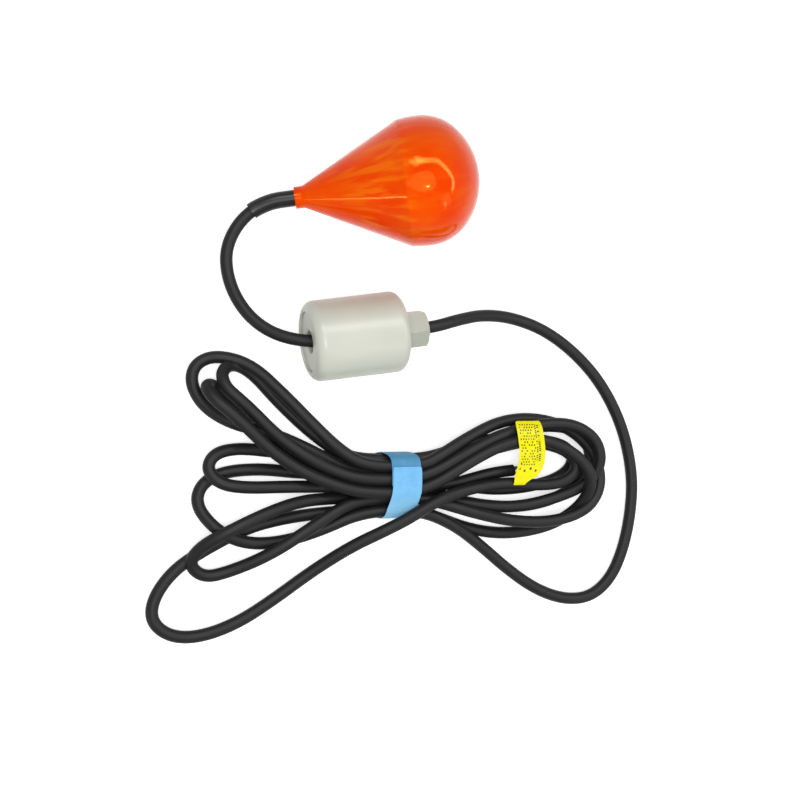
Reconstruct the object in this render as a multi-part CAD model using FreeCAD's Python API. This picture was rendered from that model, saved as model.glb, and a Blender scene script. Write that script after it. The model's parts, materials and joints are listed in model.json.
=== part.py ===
"""Float level switch: a pear float on a rubber lead, with a counterweight clamped to the lead.

The float is two welded shells round a sealed capsule, in which a steel ball rolls in a race and works the
lever of a microswitch.  The counterweight is a moulded shell round an iron core, with a hex clamp nut.
Millimetres, +Z up.  The origin is under the middle of the float and counterweight, on the floor.
"""
import FreeCAD, Part
import math
import os
from FreeCAD import Placement, Rotation, Vector

# ---- lead ----
CABLE_RADIUS = 4.2
CABLE_SLIP = 0.5            # gap round the lead where it passes through freely
ARC_SHARE = 0.45            # share of the shorter run that a bend of the lead takes up

# ---- float shells ----
WALL = 2.6
NECK_RADIUS = 7.3
NECK_LENGTH = 5.5
NECK_FILLET = 6.0
CONE_LENGTH = 73.5          # neck face to ridge
RIDGE_RADIUS = 42.2
RIDGE_ROUNDING = 4.0
BAND_SWELL = 1.0            # how far the band stands out from the ridge
BAND_LENGTH = 13.4
BAND_RISE = 7.5             # ridge to the full radius
BAND_ROUNDING = 60.0
DOME_DEPTH = 37.0
DOME_CROWN = 4.0            # dome's depth beyond the radius of its side arc
WELD_OFFSET = 3.0           # ridge to the welded joint
LAP_LENGTH = 4.0
LAP_SHARE = 0.5             # share of the wall that the inner lip takes
SEAL_SEAT_START = 8.0
SEAL_SEAT_LENGTH = 6.0

# ---- boot and cable entry ----
BOOT_RADIUS = 5.5
BOOT_INSERT = 6.0           # length of boot inside the neck
BOOT_LENGTH = 31.0          # outside the neck
SEAL_LENGTH = 11.0
RING_THICKNESS = 3.0
CLAMP_LENGTH = 8.0
CLAMP_WIDTH = 20.0
CLAMP_HEIGHT = 14.0
CLAMP_GAP = 1.0             # between the two clamp halves
CLAMP_SCREW_RADIUS = 1.25
CLAMP_SCREW_HEAD = 2.3
CLAMP_SCREW_REACH = 7.6     # screw offset from the lead's axis
JACKET_END = 36.0           # where the lead's jacket is stripped

# ---- capsule ----
CAPSULE_START = 46.0
CAPSULE_LENGTH = 65.0
CAPSULE_RADIUS = 19.0
CAPSULE_WALL = 2.0
CAP_FLANGE = 1.8
CAP_PLUG = 2.2
COLLAR_WIDTH = 1.8
COLLAR_RADIUS = 20.6
SEAL_CORD_RADIUS = 0.7

# ---- spider ----
SPIDER_THICKNESS = 3.4
SPIDER_HUB = 3.2
SPIDER_RIM = 3.0
SPIDER_SPOKES = 6
SPIDER_SPOKE_WIDTH = 3.4

# ---- ball and race ----
BALL_RADIUS = 7.5
BALL_CLEARANCE = 0.3
RACE_START = 77.0
RACE_LIP_WIDTH = 1.5
RACE_LIP_RADIUS = 6.8
CHEEK_THICKNESS = 3.0
CHEEK_LENGTH = 20.0
CHEEK_WIDTH = 26.0
STOP_GAP = 0.3

# ---- microswitch ----
SWITCH_HEIGHT = 15.9        # along the float's axis
SWITCH_LENGTH = 27.8
SWITCH_WIDTH = 10.3
SWITCH_FIT = 0.1            # between the case and the cheeks
SWITCH_HOLE_OFFSET = 11.1
SWITCH_HOLE_HEIGHT = 4.0
SWITCH_SCREW_RADIUS = 1.4
PIN_RADIUS = 0.8
PIN_OFFSET = 12.0
PIN_HEIGHT = 0.9            # pin axis above the case
EAR_WIDTH = 1.4
EAR_RADIUS = 1.6
LEVER_WIDTH = 4.4
LEVER_SHEET = 0.5
LEVER_LENGTH = 21.5
PIN_RUNNING = 0.05
EAR_GAP = 0.3
PLUNGER_RADIUS = 1.2
PLUNGER_OFFSET = 6.0        # from the pin's axis
PLUNGER_DEPTH = 4.0
PLUNGER_RUNNING = 0.08
PLUNGER_GAP = 0.15          # between the plunger and the lever at rest
PLUNGER_PLAY = 0.6          # below the plunger, in the case
TERMINAL_PITCH = 9.0
TERMINAL_WIDTH = 4.8
TERMINAL_SHEET = 0.8
TERMINAL_LENGTH = 5.6
WIRE_RADIUS = 1.1
WIRE_RING = 2.3             # how far from the lead's axis the cores lie in the jacket
WIRE_BEND = 2.5
WIRE_HOLE_GAP = 0.2

# ---- counterweight ----
WEIGHT_LENGTH = 65.0
WEIGHT_RADIUS_MOUTH = 26.9
WEIGHT_RADIUS_NUT = 27.5
WEIGHT_ROUNDING_MOUTH = 6.5
WEIGHT_ROUNDING_NUT = 6.0
WEIGHT_WALL = 3.0
END_CAP_RADIUS = 20.0
END_CAP_RECESS = 1.5
END_CAP_THICKNESS = 3.0
END_CAP_GAP = 0.3
MOUTH_RADIUS = 7.7
MOUTH_DEPTH = 14.0
MOUTH_CHAMFER = 0.8
GUIDE_WALL = 2.0
CORE_GAP = 0.3
SPIGOT_RADIUS = 8.2
SPIGOT_LENGTH = 13.0
SPIGOT_RUNNING = 0.08
SPIGOT_FILLET = 0.25
COLLET_SEAT_DEPTH = 9.0
COLLET_SEAT_RADIUS = 6.8
COLLET_HEAD = 0.8
COLLET_SLOTS = 4
COLLET_SLOT_WIDTH = 1.0
WASHER_THICKNESS = 1.5
WASHER_RADIUS = 7.8
NUT_ACROSS_FLATS = 22.6
NUT_LENGTH = 17.0
NUT_CHAMFER = 1.2
NUT_FACE_GAP = 0.3
NUT_STACK_GAP = 0.1
NUT_TURN = 11.0             # degrees, of the nut about its axis

# ---- where the pieces lie ----
FLOAT_NECK_X = -44.0
FLOAT_NECK_Y = 33.9
FLOAT_YAW = 8.0
FLOAT_DROOP = 18.0          # neck below the dome
WEIGHT_MOUTH_X = -38.1
WEIGHT_MOUTH_Y = -62.7
WEIGHT_YAW = 7.5

# ---- hank, strap and label ----
HANK_LOW_END = 13.0         # height of the left loops' ends
HANK_TOP = 26.0
HANK_RIGHT_END = 18.0
WAIST = (5.5, 51.5)
WAIST_SIDES = (-182.5, -136.5)
FAN_OUTLINE = [(-22.5, -115.5), (-60.5, -71.5), (-98.5, -62.5), (-115.5, -79.5), (-100.5, -119.5),
               (-114.5, -159.5), (-112.5, -191.5), (-147, -227), (-146, -261.5), (-106.5, -267.5),
               (-60.5, -248.5), (-20.5, -217.5)]
LOBE_OUTLINE = [(81.5, -193.5), (119.5, -204.5), (161.5, -197.5), (191.5, -177.5), (198.5, -141.5),
                (180.5, -109.5), (137.5, -102.5), (93.5, -110.5)]
STRAP_SPAN = (17.5, 40.5)
STRAP_THICKNESS = 1.0
STRAP_ROUNDING = 9.0
LABEL_OUTLINE = [(111.5, -115.5), (130, -114.5), (132, -134.5), (131.5, -150.5), (122, -156.5),
                 (119, -162.5), (111, -161.5), (113, -156.5), (110.5, -154.5), (115, -138.5)]
LABEL_THICKNESS = 0.5

# ---- lead's route: points chosen by hand, between the fixed ends ----
NECK_RUN = 16.0
MOUTH_CORNER = 1.0          # from the counterweight's mouth face
NUT_CORNER = 91.0
LEAD_TO_WEIGHT = [(-72, 25.5, 7.4), (-82.5, 13.5, 5), (-88.5, -2, 4.6), (-87.5, -18.5, 6),
                  (-82, -34.5, 10), (-72, -48.5, 15.2), (-57, -58.5, 21.5)]
LEAD_TO_HANK = [(70.5, -45.5, 23), (92.5, -41, 13), (118, -42, 6), (144.5, -50.5, 4.4),
                (169.5, -67.5, 4.4), (191, -90.5, 4.4), (207.5, -121.5, 4.4), (215.5, -156.5, 4.4),
                (213.5, -186.5, 4.4), (207, -212.5, 4.4), (197, -232.5, 4.4), (181, -245, 4.4),
                (160.5, -246, 4.4), (138, -238, 4.4), (116, -223, 4.4), (93.5, -204, 5.5), (71, -186, 9),
                (55.5, -178.5, 11.5)]

X_AXIS = Vector(1, 0, 0)
Y_AXIS = Vector(0, 1, 0)
Z_AXIS = Vector(0, 0, 1)
START = Vector(0, 0, 0)

BAND_RADIUS = RIDGE_RADIUS + BAND_SWELL
DOME_SIDE_RADIUS = DOME_DEPTH - DOME_CROWN
DROOP_ANGLE = math.radians(FLOAT_DROOP)
# the ridge touches the floor
NECK_HEIGHT = RIDGE_RADIUS * math.cos(DROOP_ANGLE) - CONE_LENGTH * math.sin(DROOP_ANGLE)
FLOAT_NECK = Vector(FLOAT_NECK_X, FLOAT_NECK_Y, NECK_HEIGHT)
WEIGHT_MOUTH = Vector(WEIGHT_MOUTH_X, WEIGHT_MOUTH_Y, WEIGHT_RADIUS_NUT)
FLOAT = Placement(FLOAT_NECK, Rotation(Z_AXIS, FLOAT_YAW).multiply(Rotation(Y_AXIS, -FLOAT_DROOP)))
WEIGHT = Placement(WEIGHT_MOUTH, Rotation(Z_AXIS, WEIGHT_YAW))
FLOOR = Placement()

CONE_SLOPE = (RIDGE_RADIUS - NECK_RADIUS) / (CONE_LENGTH - NECK_LENGTH)
BAND_END = CONE_LENGTH + BAND_LENGTH
CAPSULE_END = CAPSULE_START + CAPSULE_LENGTH
CAPSULE_BORE = CAPSULE_RADIUS - CAPSULE_WALL
RACE_END = CAPSULE_END - CAPSULE_WALL
BALL_REST = RACE_START + RACE_LIP_WIDTH + math.sqrt(BALL_RADIUS ** 2 - RACE_LIP_RADIUS ** 2) + STOP_GAP
BALL_TRAVEL = RACE_END - STOP_GAP - BALL_RADIUS - BALL_REST
LEVER_TOP = BALL_REST - BALL_RADIUS - STOP_GAP
LEVER_UNDER = LEVER_TOP - LEVER_SHEET
PIN_PLACE = Vector(LEVER_UNDER - PIN_RUNNING - PIN_RADIUS, -PIN_OFFSET, 0)
SWITCH_TOP = PIN_PLACE.x - PIN_HEIGHT
SWITCH_BOTTOM = SWITCH_TOP - SWITCH_HEIGHT
SPIGOT_END = WEIGHT_LENGTH + SPIGOT_LENGTH
COLLET_END = SPIGOT_END + COLLET_HEAD
WASHER_START = COLLET_END + NUT_STACK_GAP
NUT_SEAT = WASHER_START + WASHER_THICKNESS + NUT_STACK_GAP
CABLE_HOLE = CABLE_RADIUS + CABLE_SLIP


# ---- shaping helpers ----
def keep(node, shape, place=FLOOR):
    """Writes one sub-part where it lies."""
    placed = shape.copy()
    placed.Placement = place.multiply(shape.Placement)
    placed.exportStep("parts/" + node + ".step")
    print(node, "solids", len(placed.Solids), "volume", round(placed.Volume, 1), "valid", placed.isValid())


def half_turn(before, corner, after):
    return (after - corner).getAngle(corner - before) / 2


def share_radii(points):
    """The largest radius at each inner point that leaves both its runs partly straight."""
    return [
        ARC_SHARE * min((b - a).Length, (c - b).Length) / math.tan(half_turn(a, b, c))
        for a, b, c in zip(points, points[1:], points[2:])
    ]


def arc_at(before, corner, after, radius):
    """The arc that rounds one corner, tangent to both its runs."""
    back = (before - corner).normalize()
    onward = (after - corner).normalize()
    half = half_turn(before, corner, after)
    setback = radius * math.tan(half)
    middle = corner + (back + onward).normalize() * (radius / math.cos(half) - radius)
    return Part.Arc(corner + back * setback, middle, corner + onward * setback).toShape()


def rounded(points, radii):
    """Straight runs with a tangent arc at each inner point, as a list of edges."""
    edges = []
    here = points[0]
    for before, corner, after, radius in zip(points, points[1:], points[2:], radii):
        arc = arc_at(before, corner, after, radius)
        edges += [Part.LineSegment(here, arc.Vertexes[0].Point).toShape(), arc]
        here = arc.Vertexes[-1].Point
    return edges + [Part.LineSegment(here, points[-1]).toShape()]


def closed_outline(points):
    """A closed outline in the floor's plane, rounded at every point."""
    loop = [Vector(x, y, 0) for x, y in points]
    middle = (loop[0] + loop[-1]) / 2
    loop = [middle] + loop + [middle]
    return Part.Face(Part.Wire(rounded(loop, share_radii(loop))))


def trimmed(edges, length):
    """The first part of a path, cut to a length."""
    taken = []
    for edge in edges:
        if edge.Length >= length:
            stop = edge.getParameterByLength(length)
            return taken + [edge.Curve.trim(edge.FirstParameter, stop).toShape()]
        taken.append(edge)
        length -= edge.Length
    return taken


def tube(edges, radius):
    """A round bar along a path."""
    start = edges[0].Vertexes[0].Point
    along = edges[0].Vertexes[-1].Point - start
    section = Part.Face(Part.Wire(Part.makeCircle(radius, start, along)))
    return Part.Wire(edges).makePipe(section)


def turned(edges):
    """A solid of revolution about X from a closed section."""
    return Part.Face(Part.Wire(edges)).revolve(START, X_AXIS, 360)


def section(points):
    """A closed section from (along, radius) corners."""
    corners = [Vector(u, r, 0) for u, r in points]
    return [Part.LineSegment(a, b).toShape() for a, b in zip(corners, corners[1:] + corners[:1])]


def bar(radius, start, end, y=0.0, z=0.0):
    return Part.makeCylinder(radius, end - start, Vector(start, y, z), X_AXIS)


def ring(outer, inner, start, end):
    return bar(outer, start, end).cut(bar(inner, start, end))


def block(low, high):
    return Part.makeBox(high[0] - low[0], high[1] - low[1], high[2] - low[2], Vector(*low))


def cross_bar(radius, u, y, half_length):
    """A bar across the axis, along local Z."""
    return Part.makeCylinder(radius, 2 * half_length, Vector(u, y, -half_length), Z_AXIS)


# ---- float ----
def cone_radius(u):
    """Outer radius of the straight cone."""
    return NECK_RADIUS + (u - NECK_LENGTH) * CONE_SLOPE


def cone_inside(u):
    return cone_radius(u) - WALL * math.hypot(1, CONE_SLOPE)


def dome_arcs(inset):
    """Side arc and tip arc of the dome, tangent to the band and to each other."""
    drop = BAND_RADIUS - DOME_SIDE_RADIUS
    tip_radius = (drop ** 2 + DOME_DEPTH ** 2 - DOME_SIDE_RADIUS ** 2) / (2 * DOME_CROWN)
    side_centre = Vector(BAND_END, drop, 0)
    tip_centre = Vector(BAND_END + DOME_DEPTH - tip_radius, 0, 0)
    towards_knee = (side_centre - tip_centre).normalize()
    side_middle = (towards_knee + Y_AXIS).normalize()
    tip_middle = (towards_knee + X_AXIS).normalize()
    start = Vector(BAND_END, BAND_RADIUS - inset, 0)
    knee = tip_centre + towards_knee * (tip_radius - inset)
    tip = Vector(BAND_END + DOME_DEPTH - inset, 0, 0)
    return [Part.Arc(start, side_centre + side_middle * (DOME_SIDE_RADIUS - inset), knee).toShape(),
            Part.Arc(knee, tip_centre + tip_middle * (tip_radius - inset), tip).toShape()]


def float_wall():
    """Both shells in one, before they are parted at the weld."""
    outer = [Vector(u, r, 0) for u, r in (
        (0, NECK_RADIUS), (NECK_LENGTH, NECK_RADIUS), (CONE_LENGTH, RIDGE_RADIUS),
        (CONE_LENGTH + BAND_RISE, BAND_RADIUS), (BAND_END, BAND_RADIUS))]
    ridge_inside = CONE_LENGTH + WALL * math.tan(math.atan(CONE_SLOPE) / 2)
    seat_end = SEAL_SEAT_START + SEAL_SEAT_LENGTH
    inner = [Vector(u, r, 0) for u, r in (
        (BAND_END, BAND_RADIUS - WALL), (CONE_LENGTH + BAND_RISE, BAND_RADIUS - WALL),
        (ridge_inside, cone_inside(ridge_inside)), (seat_end, cone_inside(seat_end)),
        (SEAL_SEAT_START, CABLE_HOLE), (BOOT_INSERT, CABLE_HOLE), (BOOT_INSERT, BOOT_RADIUS),
        (0, BOOT_RADIUS), (0, NECK_RADIUS))]
    tip = Vector(BAND_END + DOME_DEPTH, 0, 0)
    edges = rounded(outer, [NECK_FILLET, RIDGE_ROUNDING, BAND_ROUNDING])
    edges += dome_arcs(0)
    edges.append(Part.LineSegment(tip, tip - Vector(WALL, 0, 0)).toShape())
    edges += dome_arcs(WALL)[::-1]
    edges += [Part.LineSegment(a, b).toShape() for a, b in zip(inner, inner[1:])]
    return turned(edges)


def float_shells():
    """Cone and dome: the cone's inner lip laps into the dome at the weld."""
    wall = float_wall()
    weld = CONE_LENGTH + WELD_OFFSET
    reach = 2 * BAND_RADIUS
    lip_radius = BAND_RADIUS - WALL * LAP_SHARE
    cone_side = bar(reach, 0, weld).fuse(bar(lip_radius, weld, weld + LAP_LENGTH))
    dome_side = bar(reach, weld, weld + reach).cut(bar(lip_radius, weld, weld + LAP_LENGTH))
    keep("float_cone", wall.common(cone_side), FLOAT)
    keep("float_dome", wall.common(dome_side), FLOAT)


def cable_seal():
    """Rubber bush squeezed between the lead and the cone's seat."""
    seat_end = SEAL_SEAT_START + SEAL_SEAT_LENGTH
    end = SEAL_SEAT_START + SEAL_LENGTH
    bush = turned(section([
        (SEAL_SEAT_START, CABLE_RADIUS), (SEAL_SEAT_START, CABLE_HOLE), (seat_end, cone_inside(seat_end)),
        (end, cone_inside(seat_end)), (end, CABLE_RADIUS)]))
    keep("cable_seal", bush, FLOAT)


def cable_clamp():
    """Ring that presses the seal, with a half saddle; the other half is screwed down on the lead."""
    start = SEAL_SEAT_START + SEAL_LENGTH
    end = start + RING_THICKNESS
    clamp_end = end + CLAMP_LENGTH
    half_width = CLAMP_WIDTH / 2
    half_height = CLAMP_HEIGHT / 2
    grip = bar(CABLE_RADIUS, start, clamp_end)
    hole = bar(CABLE_HOLE, start, end)
    disc = turned(section([(start, 0), (start, cone_inside(start)), (end, cone_inside(end)), (end, 0)]))
    base = block((end, -half_width, -half_height), (clamp_end, half_width, -CLAMP_GAP / 2))
    saddle = block((end + CLAMP_GAP, -half_width, CLAMP_GAP / 2), (clamp_end, half_width, half_height))
    middle = (end + CLAMP_GAP + clamp_end) / 2
    sides = (-CLAMP_SCREW_REACH, CLAMP_SCREW_REACH)
    shanks = Part.makeCompound([cross_bar(CLAMP_SCREW_RADIUS, middle, y, half_height) for y in sides])
    heads = [
        Part.makeCylinder(CLAMP_SCREW_HEAD, CLAMP_SCREW_RADIUS, Vector(middle, y, half_height), Z_AXIS)
        for y in sides
    ]
    screws = [bolt.fuse(head) for bolt, head in zip(shanks.Solids, heads)]
    keep("clamp_ring", disc.cut(hole).fuse(base).cut(grip.fuse(shanks)), FLOAT)
    keep("clamp_saddle", saddle.cut(grip.fuse(shanks)), FLOAT)
    keep("clamp_screws", Part.makeCompound(screws), FLOAT)


def lead_inside():
    """The lead's jacket inside the neck, and the three cores from it to the switch."""
    keep("jacket_end", bar(CABLE_RADIUS, 0, JACKET_END), FLOAT)
    bend_start = JACKET_END + WIRE_BEND
    bend_end = CAPSULE_START - WIRE_BEND
    wire_end = SWITCH_BOTTOM - TERMINAL_LENGTH
    for node, side in (("core_brown", -1), ("core_blue", 0), ("core_black", 1)):
        ring_y = side * WIRE_RING * math.cos(math.pi / 6)
        ring_z = WIRE_RING * (1.0 if side == 0 else -0.5)
        far_y = side * TERMINAL_PITCH
        route = [Vector(JACKET_END, ring_y, ring_z), Vector(bend_start, ring_y, ring_z),
                 Vector(bend_end, far_y, 0), Vector(wire_end, far_y, 0)]
        keep(node, tube(rounded(route, share_radii(route)), WIRE_RADIUS), FLOAT)


def capsule():
    """Sealed capsule: body, cap with three wire holes, and the sealing cord between them."""
    seal_start = CAPSULE_START + CAP_FLANGE
    body = ring(CAPSULE_RADIUS, CAPSULE_BORE, seal_start, CAPSULE_END)
    body = body.fuse(bar(CAPSULE_RADIUS, RACE_END, CAPSULE_END))
    collar_end = CONE_LENGTH
    body = body.fuse(ring(COLLAR_RADIUS, CAPSULE_BORE, collar_end - COLLAR_WIDTH, collar_end))
    keep("capsule_body", body.removeSplitter(), FLOAT)
    cap = bar(CAPSULE_RADIUS, CAPSULE_START, seal_start)
    cap = cap.fuse(bar(CAPSULE_BORE, seal_start, seal_start + CAP_PLUG))
    groove = Part.makeTorus(CAPSULE_BORE, SEAL_CORD_RADIUS, Vector(seal_start + CAP_PLUG / 2, 0, 0), X_AXIS)
    holes = [
        bar(WIRE_RADIUS + WIRE_HOLE_GAP, CAPSULE_START, seal_start + CAP_PLUG, side * TERMINAL_PITCH)
        for side in (-1, 0, 1)
    ]
    keep("capsule_cap", cap.cut(groove).cut(Part.makeCompound(holes)), FLOAT)
    keep("capsule_seal", groove.common(bar(CAPSULE_BORE, CAPSULE_START, CAPSULE_END)), FLOAT)


def support_spider():
    """Hub, spokes and rim that hold the capsule in the middle of the shells."""
    end = CONE_LENGTH + SPIDER_THICKNESS
    rim_radius = cone_inside(CONE_LENGTH)
    hub = ring(CAPSULE_RADIUS + SPIDER_HUB, CAPSULE_RADIUS, CONE_LENGTH, end)
    rim = ring(rim_radius, rim_radius - SPIDER_RIM, CONE_LENGTH, end)
    half = SPIDER_SPOKE_WIDTH / 2
    spoke = block((CONE_LENGTH, CAPSULE_RADIUS + SPIDER_HUB / 2, -half),
                  (end, rim_radius - SPIDER_RIM / 2, half))
    spider = hub.fuse(rim)
    for i in range(SPIDER_SPOKES):
        arm = spoke.copy()
        arm.rotate(START, X_AXIS, i * 360 / SPIDER_SPOKES)
        spider = spider.fuse(arm)
    keep("support_spider", spider.removeSplitter(), FLOAT)


def ball_and_race():
    """Race with a lip that holds the ball, and two cheeks that carry the switch."""
    lip_end = RACE_START + RACE_LIP_WIDTH
    race = bar(CAPSULE_BORE, RACE_START, RACE_END)
    cheek_in = SWITCH_WIDTH / 2 + SWITCH_FIT
    cheek = block((RACE_START - CHEEK_LENGTH, -CHEEK_WIDTH / 2, cheek_in),
                  (RACE_START, CHEEK_WIDTH / 2, cheek_in + CHEEK_THICKNESS))
    other = cheek.mirror(START, Z_AXIS)
    race = race.fuse(cheek.fuse(other).common(bar(CAPSULE_BORE, CAPSULE_START, RACE_START)))
    race = race.cut(bar(RACE_LIP_RADIUS, RACE_START - BALL_RADIUS, lip_end))
    race = race.cut(bar(BALL_RADIUS + BALL_CLEARANCE, lip_end, RACE_END))
    screws = switch_screw_shapes(cheek_in + CHEEK_THICKNESS)
    keep("ball_race", race.cut(screws), FLOAT)
    keep("switch_screws", screws, FLOAT)
    keep("steel_ball", Part.makeSphere(BALL_RADIUS, Vector(BALL_REST, 0, 0)), FLOAT)


def switch_screw_shapes(half_length):
    height = SWITCH_BOTTOM + SWITCH_HOLE_HEIGHT
    sides = (-SWITCH_HOLE_OFFSET, SWITCH_HOLE_OFFSET)
    return Part.makeCompound([cross_bar(SWITCH_SCREW_RADIUS, height, y, half_length) for y in sides])


def microswitch():
    """Case with two ears for the lever's pin, the plunger and the terminals."""
    half_width = SWITCH_WIDTH / 2
    case = block((SWITCH_BOTTOM, -SWITCH_LENGTH / 2, -half_width),
                 (SWITCH_TOP, SWITCH_LENGTH / 2, half_width))
    ear_in = LEVER_WIDTH / 2 + EAR_GAP
    ears = cross_bar(EAR_RADIUS, PIN_PLACE.x, PIN_PLACE.y, ear_in + EAR_WIDTH)
    ears = ears.cut(cross_bar(EAR_RADIUS, PIN_PLACE.x, PIN_PLACE.y, ear_in))
    relief = cross_bar(EAR_RADIUS + EAR_GAP, PIN_PLACE.x, PIN_PLACE.y, ear_in)
    pin = cross_bar(PIN_RADIUS, PIN_PLACE.x, PIN_PLACE.y, ear_in + EAR_WIDTH)
    plunger_y = PLUNGER_OFFSET - PIN_OFFSET
    well_floor = SWITCH_TOP - PLUNGER_DEPTH - PLUNGER_PLAY
    well = bar(PLUNGER_RADIUS + PLUNGER_RUNNING, well_floor, SWITCH_TOP, plunger_y)
    case = case.cut(relief).fuse(ears).cut(pin).cut(well).cut(switch_screw_shapes(half_width))
    keep("switch_case", case, FLOAT)
    keep("lever_pin", pin, FLOAT)
    plunger_top = LEVER_UNDER - PLUNGER_GAP
    keep("switch_plunger", bar(PLUNGER_RADIUS, SWITCH_TOP - PLUNGER_DEPTH, plunger_top, plunger_y), FLOAT)
    half_sheet = TERMINAL_SHEET / 2
    for node, side in (("terminal_common", -1), ("terminal_open", 0), ("terminal_closed", 1)):
        y = side * TERMINAL_PITCH
        blade = block((SWITCH_BOTTOM - TERMINAL_LENGTH, y - TERMINAL_WIDTH / 2, -half_sheet),
                      (SWITCH_BOTTOM, y + TERMINAL_WIDTH / 2, half_sheet))
        keep(node, blade, FLOAT)


def lever():
    """Sheet lever that hooks round the pin and crosses in front of the ball."""
    half_width = LEVER_WIDTH / 2
    hook_in = PIN_RADIUS + PIN_RUNNING
    hook = cross_bar(hook_in + LEVER_SHEET, 0, 0, half_width)
    blade = block((hook_in, 0, -half_width), (hook_in + LEVER_SHEET, LEVER_LENGTH, half_width))
    arm = hook.fuse(blade).cut(cross_bar(hook_in, 0, 0, half_width))
    arm.translate(PIN_PLACE)
    keep("switch_lever", arm, FLOAT)


# ---- counterweight ----
def weight_shell():
    """Moulded shell, open at the mouth end, with the clamp's spigot at the other."""
    seat_start = SPIGOT_END - COLLET_SEAT_DEPTH
    rim = END_CAP_RADIUS + END_CAP_GAP
    inside = WEIGHT_RADIUS_MOUTH - WEIGHT_WALL
    cap_back = END_CAP_RECESS + END_CAP_THICKNESS
    outer = [Vector(u, r, 0) for u, r in (
        (0, rim), (0, WEIGHT_RADIUS_MOUTH), (WEIGHT_LENGTH, WEIGHT_RADIUS_NUT),
        (WEIGHT_LENGTH, SPIGOT_RADIUS), (SPIGOT_END, SPIGOT_RADIUS))]
    inner = [Vector(u, r, 0) for u, r in (
        (SPIGOT_END, SPIGOT_RADIUS), (SPIGOT_END, COLLET_SEAT_RADIUS), (seat_start, CABLE_HOLE),
        (WEIGHT_LENGTH - WEIGHT_WALL, CABLE_HOLE), (WEIGHT_LENGTH - WEIGHT_WALL, inside),
        (cap_back, inside), (cap_back, rim), (0, rim))]
    edges = rounded(outer, [WEIGHT_ROUNDING_MOUTH, WEIGHT_ROUNDING_NUT, SPIGOT_FILLET])
    edges += [Part.LineSegment(a, b).toShape() for a, b in zip(inner, inner[1:])]
    keep("weight_shell", turned(edges), WEIGHT)


def weight_end_cap():
    """Recessed cap with the lead's mouth and the guide tube through the core."""
    start = END_CAP_RECESS
    flange_end = start + END_CAP_THICKNESS
    guide_end = WEIGHT_LENGTH - WEIGHT_WALL
    cap = turned(section([
        (start + MOUTH_CHAMFER, MOUTH_RADIUS), (start, MOUTH_RADIUS + MOUTH_CHAMFER), (start, END_CAP_RADIUS),
        (flange_end, END_CAP_RADIUS), (flange_end, MOUTH_RADIUS + GUIDE_WALL),
        (MOUTH_DEPTH + GUIDE_WALL, MOUTH_RADIUS + GUIDE_WALL),
        (MOUTH_DEPTH + GUIDE_WALL, CABLE_HOLE + GUIDE_WALL),
        (guide_end, CABLE_HOLE + GUIDE_WALL), (guide_end, CABLE_HOLE), (MOUTH_DEPTH, CABLE_HOLE),
        (MOUTH_DEPTH, MOUTH_RADIUS)]))
    keep("weight_end_cap", cap, WEIGHT)


def weight_core():
    """Iron core, stepped to pass the guide tube."""
    start = END_CAP_RECESS + END_CAP_THICKNESS
    step = MOUTH_DEPTH + GUIDE_WALL + CORE_GAP
    end = WEIGHT_LENGTH - WEIGHT_WALL
    outer = WEIGHT_RADIUS_MOUTH - WEIGHT_WALL
    wide = MOUTH_RADIUS + GUIDE_WALL + CORE_GAP
    narrow = CABLE_HOLE + GUIDE_WALL
    core = turned(section([
        (start, wide), (start, outer), (end, outer), (end, narrow), (step, narrow), (step, wide)]))
    keep("weight_core", core, WEIGHT)


def clamp_collet():
    """Slit cone that grips the lead when the nut drives it into the spigot."""
    start = SPIGOT_END - COLLET_SEAT_DEPTH
    cone = turned(section([
        (start, CABLE_RADIUS), (start, CABLE_HOLE), (SPIGOT_END, COLLET_SEAT_RADIUS),
        (COLLET_END, COLLET_SEAT_RADIUS), (COLLET_END, CABLE_RADIUS)]))
    half = COLLET_SLOT_WIDTH / 2
    slot = block((start, 0, -half), (SPIGOT_END - COLLET_HEAD, 2 * COLLET_SEAT_RADIUS, half))
    for i in range(COLLET_SLOTS):
        cut = slot.copy()
        cut.rotate(START, X_AXIS, (i + 0.5) * 360 / COLLET_SLOTS)
        cone = cone.cut(cut)
    keep("clamp_collet", cone, WEIGHT)


def clamp_nut():
    """Hex nut on the spigot, and the loose washer between it and the collet."""
    washer = ring(WASHER_RADIUS, CABLE_HOLE, WASHER_START, WASHER_START + WASHER_THICKNESS)
    keep("thrust_washer", washer, WEIGHT)
    start = WEIGHT_LENGTH + NUT_FACE_GAP
    end = start + NUT_LENGTH
    corner = NUT_ACROSS_FLATS / 2 / math.cos(math.pi / 6)
    turns = [i * math.pi / 3 for i in range(7)]
    points = [Vector(start, corner * math.cos(turn), corner * math.sin(turn)) for turn in turns]
    hexagon = Part.Face(Part.makePolygon(points)).extrude(Vector(NUT_LENGTH, 0, 0))
    hexagon.rotate(START, X_AXIS, 90 + NUT_TURN)
    waist = corner - NUT_CHAMFER
    blank = turned(section([
        (start, 0), (start, corner), (end - NUT_CHAMFER, corner), (end, waist), (end, 0)]))
    bore = bar(SPIGOT_RADIUS + SPIGOT_RUNNING, start, NUT_SEAT).fuse(bar(CABLE_HOLE, NUT_SEAT, end))
    keep("clamp_nut", hexagon.common(blank).cut(bore), WEIGHT)


# ---- lead, hank, strap and label ----
def lead_route():
    """Every point of the free lead, from the float's neck through the counterweight to the hank."""
    outward = FLOAT.Rotation.multVec(X_AXIS) * -NECK_RUN
    along = WEIGHT.Rotation.multVec(X_AXIS)
    route = [FLOAT_NECK, FLOAT_NECK + outward]
    route += [Vector(*p) for p in LEAD_TO_WEIGHT]
    route += [WEIGHT_MOUTH + along * MOUTH_CORNER, WEIGHT_MOUTH + along * NUT_CORNER]
    return route + [Vector(*p) for p in LEAD_TO_HANK]


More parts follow.
